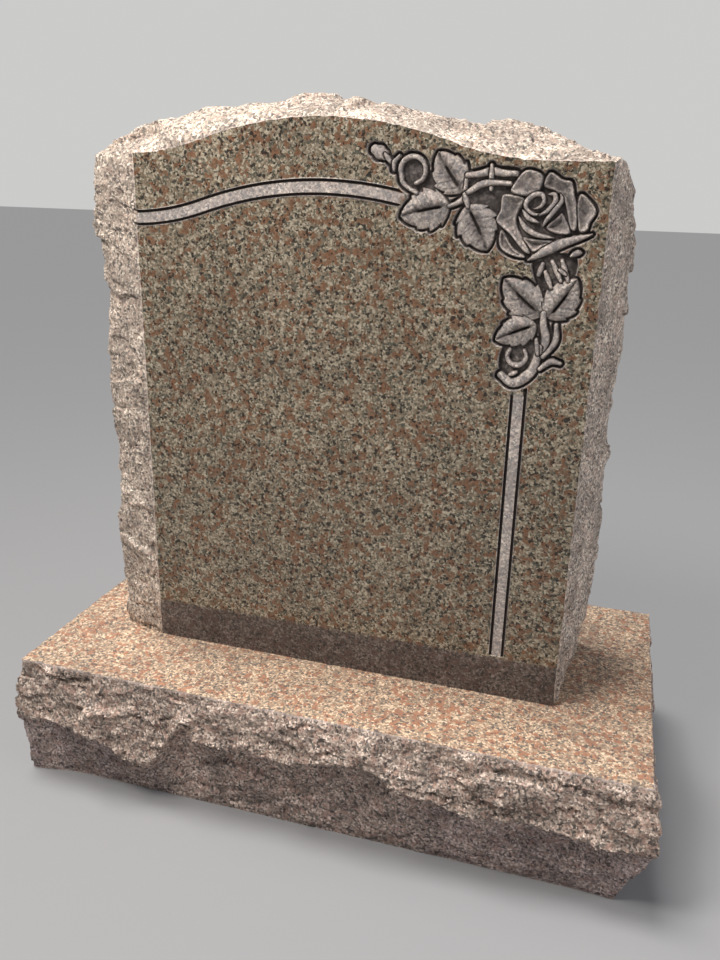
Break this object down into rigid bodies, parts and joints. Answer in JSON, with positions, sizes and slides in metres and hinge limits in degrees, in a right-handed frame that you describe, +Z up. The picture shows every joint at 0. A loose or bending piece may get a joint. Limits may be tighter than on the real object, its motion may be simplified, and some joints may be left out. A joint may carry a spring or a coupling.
{
  "type": "upright headstone",
  "caption": "Upright granite headstone: a tablet with a polished face, serpentine top, rough sides and a carved rose spray, standing on a rough-sided base.",
  "frame": {"origin": "middle of the base's underside, on the ground", "axes": "+X to the right of a viewer who faces the polished face, +Y to the back, +Z up"},
  "size_m": [0.7367, 0.398, 0.773],
  "materials": {
    "base_granite": "rough, with a finely ground top",
    "tablet_granite": "polished face and back, rough pitched sides and top, frosted carving"
  },
  "bodies": {
    "root": {"base": "base_granite", "tablet": "tablet_granite"}
  },
  "joints": []
}
